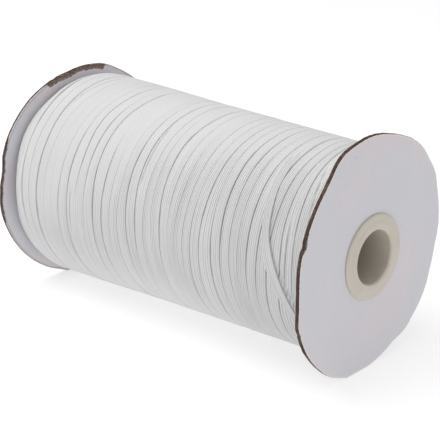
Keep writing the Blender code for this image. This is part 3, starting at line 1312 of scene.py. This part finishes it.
@dataclass
class PlasticCore:
    """The tube that the elastic is wound on, and the collar pressed into each end."""

    axis: RollAxis
    finish: MouldedPlasticFinish
    bore_radius: float = 10.6 * MM
    spigot_radius: float = 12.0 * MM
    spigot_length: float = 12.0 * MM
    wall: float = 2.0 * MM
    collar_radius: float = 16.7 * MM
    lift: float = 0.08 * MM
    edge: float = 0.8 * MM
    crest: float = 1.25 * MM
    lip_foot: float = 3.4 * MM
    lip_width: float = 2.6 * MM
    steps: int = 128

    def ring(
        self, name: str, section: Sequence[tuple[float, float]], rounded: dict[int, float], node: str,
    ) -> bpy.types.Object:
        """Spin a section into a ring and round some of its corners.

        Args:
            name: the piece's name.
            section: points as (along, radius).
            rounded: the bevel of each corner to round, by its number.
            node: the CAD node that it stands for.

        Returns:
            The ring.
        """
        mesh = spun_ring(section, self.steps)
        slot = mesh.verts.layers.int["slot"]
        loops = {
            number: [edge for edge in mesh.edges if all(vert[slot] == number for vert in edge.verts)]
            for number in rounded
        }
        for number, radius in rounded.items():
            bmesh.ops.bevel(
                mesh, geom=loops[number], offset=radius, affect="EDGES", segments=5, profile=0.5,
                material=-1, clamp_overlap=True,
            )
        bmesh.ops.translate(mesh, verts=mesh.verts[:], vec=self.axis.middle)
        return finish_piece(mesh, name, [self.finish.material()], [node], crease=45.0)

    def collar(self, side: CardSide) -> bpy.types.Object:
        """Build a flanged collar with a raised lip round its bore.

        Args:
            side: the end that it closes.

        Returns:
            The collar.
        """
        inside = -(CARD_THICKNESS + self.spigot_length)
        outline = (
            (self.lift, self.spigot_radius),
            (self.lift, self.collar_radius),
            (self.edge, self.collar_radius),
            (self.edge + 0.2 * MM, self.bore_radius + self.lip_foot),
            (self.crest, self.bore_radius + self.lip_width),
            (self.crest, self.bore_radius + 0.4 * MM),
            (self.crest - 0.6 * MM, self.bore_radius - 0.1 * MM),
            (inside, self.bore_radius),
            (inside, self.spigot_radius),
        )
        section = [(side.value * (self.axis.half + out), radius) for out, radius in outline]
        bevels = (0.1, 0.5, 0.4, 0.35, 0.25, 0.25, 0.4)
        rounded = {corner: bevel * MM for corner, bevel in enumerate(bevels, 1)}
        name = f"collar_{side.name.lower()}"
        return self.ring(f"moulded_{name}", section, rounded, name)

    def tube(self) -> bpy.types.Object:
        """Build the tube between the collars.

        Returns:
            The tube.
        """
        inner = self.spigot_radius + FIT_GAP
        half = self.axis.half - CARD_THICKNESS - FIT_GAP
        outer = inner + self.wall
        section = [(half, outer), (-half, outer), (-half, inner), (half, inner)]
        return self.ring("winding_tube", section, dict.fromkeys(range(4), 0.3 * MM), "core_tube")

    def build(self) -> None:
        """Build the tube and both collars."""
        self.tube()
        self.collar(CardSide.NEAR)
        self.collar(CardSide.FAR)


# ---------------------------------------------------------------- the studio


@dataclass
class Studio:
    """A plain pale floor, soft light and the camera."""

    camera_place: Place = (0.33073, -0.35824, 0.2182)
    camera_turn: float = 42.52
    camera_pitch: float = 20.06
    lens: float = 103.16
    floor_size: float = 8.0
    floor_colour: Colour = (0.52, 0.52, 0.52)
    floor_glow: float = 0.58
    world_strength: float = 0.58

    def floor(self) -> None:
        """Lay the floor."""
        mesh = bmesh.new()
        bmesh.ops.create_grid(mesh, x_segments=4, y_segments=4, size=self.floor_size / 2.0)
        bmesh.ops.translate(mesh, verts=mesh.verts[:], vec=(0.0, 0.0, -0.05 * MM))
        pale = NodeSheet("pale_floor").finish({
            "Base Color": self.floor_colour,
            "Emission Color": (1.0, 1.0, 1.0),
            "Emission Strength": self.floor_glow,
            "Roughness": 0.9,
            "Specular IOR Level": 0.1,
        })
        stand_mesh(mesh, "floor", [pale])

    def area_light(self, name: str, place: Place, target: Place, size: float, power: float) -> None:
        """Hang one soft square light.

        Args:
            name: the light's name.
            place: where it hangs.
            target: the point that it faces.
            size: the length of its side.
            power: its power in watts.
        """
        data = bpy.data.lights.new(name, "AREA")
        data.shape = "SQUARE"
        data.size = size
        data.energy = power
        light = stand(name, data)
        light.location = place
        facing = Vector(target) - Vector(place)
        light.rotation_euler = facing.to_track_quat("-Z", "Y").to_euler()

    def sky(self) -> None:
        """Fill the surroundings with even white light."""
        world = bpy.data.worlds.new("studio")
        world.use_nodes = True
        background = world.node_tree.nodes["Background"]
        background.inputs["Color"].default_value = (1.0, 1.0, 1.0, 1.0)
        background.inputs["Strength"].default_value = self.world_strength
        bpy.context.scene.world = world

    def camera(self) -> None:
        """Set up the camera."""
        data = bpy.data.cameras.new("camera")
        data.lens = self.lens
        data.sensor_width = 36.0
        data.clip_start = 0.01
        camera = stand("camera", data)
        camera.location = self.camera_place
        camera.rotation_euler = (
            math.radians(90.0 - self.camera_pitch), 0.0, math.radians(self.camera_turn)
        )
        bpy.context.scene.camera = camera

    def build(self) -> None:
        """Set up the floor, the light and the camera."""
        self.floor()
        self.sky()
        self.area_light("overhead", (-0.25, -0.35, 0.95), (0.0, 0.0, 0.04), 0.9, 6.3)
        self.area_light("front_left", (-0.8, -0.9, 0.45), (0.0, 0.0, 0.04), 0.8, 0.5)
        self.camera()
        bpy.context.scene.view_settings.view_transform = "Standard"


# ---------------------------------------------------------------- the whole roll


def main() -> None:
    """Build the roll and its studio."""
    logging.basicConfig(level=logging.INFO, format="%(name)s %(message)s")
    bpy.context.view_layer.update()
    axis = RollAxis.from_frame()
    Studio().build()
    WoundElastic(axis, BraidFinish()).build()
    CardFlange(
        axis, CardSide.NEAR, "flange_near", NEAR_LEAN,
        PaperFinish("near_paper"), BoardEdgeFinish("near_edge"),
        torn=[TornPatch(17.0, 28.0, 0.8, True)],
        chips=[Chip(21.0, 2.2, 0.6), Chip(341.0, 1.5, 0.2)],
        dents=[Dent(73.0, 3.9, 0.9, 0.35), Dent(66.0, 8.0, 1.0, 0.12)],
        bare=[
            BareEdge(0.0, 1.2), BareEdge(94.0, 1.2), BareEdge(103.0, 0.1), BareEdge(305.0, 0.0),
            BareEdge(325.0, 0.5), BareEdge(340.0, 1.2), BareEdge(360.0, 1.2),
        ],
    ).build()
    CardFlange(
        axis, CardSide.FAR, "flange_far", FAR_LEAN,
        PaperFinish("far_paper", rim=(0.42, 0.35, 0.33)), BoardEdgeFinish("far_edge"),
        torn=[TornPatch(64.0, 106.0, 2.2, False), TornPatch(-13.0, 25.0, 0.55, False)],
        chips=[Chip(70.0, 2.0, 0.3)],
        bare=[
            BareEdge(0.0, 1.3), BareEdge(25.0, 1.3), BareEdge(29.0, 0.7),
            BareEdge(62.0, 0.7), BareEdge(66.0, 1.3), BareEdge(106.0, 1.3), BareEdge(112.0, 0.0),
            BareEdge(280.0, 0.0), BareEdge(290.0, 0.7), BareEdge(342.0, 0.7), BareEdge(346.0, 1.3),
            BareEdge(360.0, 1.3),
        ],
    ).build()
    PlasticCore(axis, MouldedPlasticFinish("cream_plastic")).build()


if __name__ == "__main__":
    main()
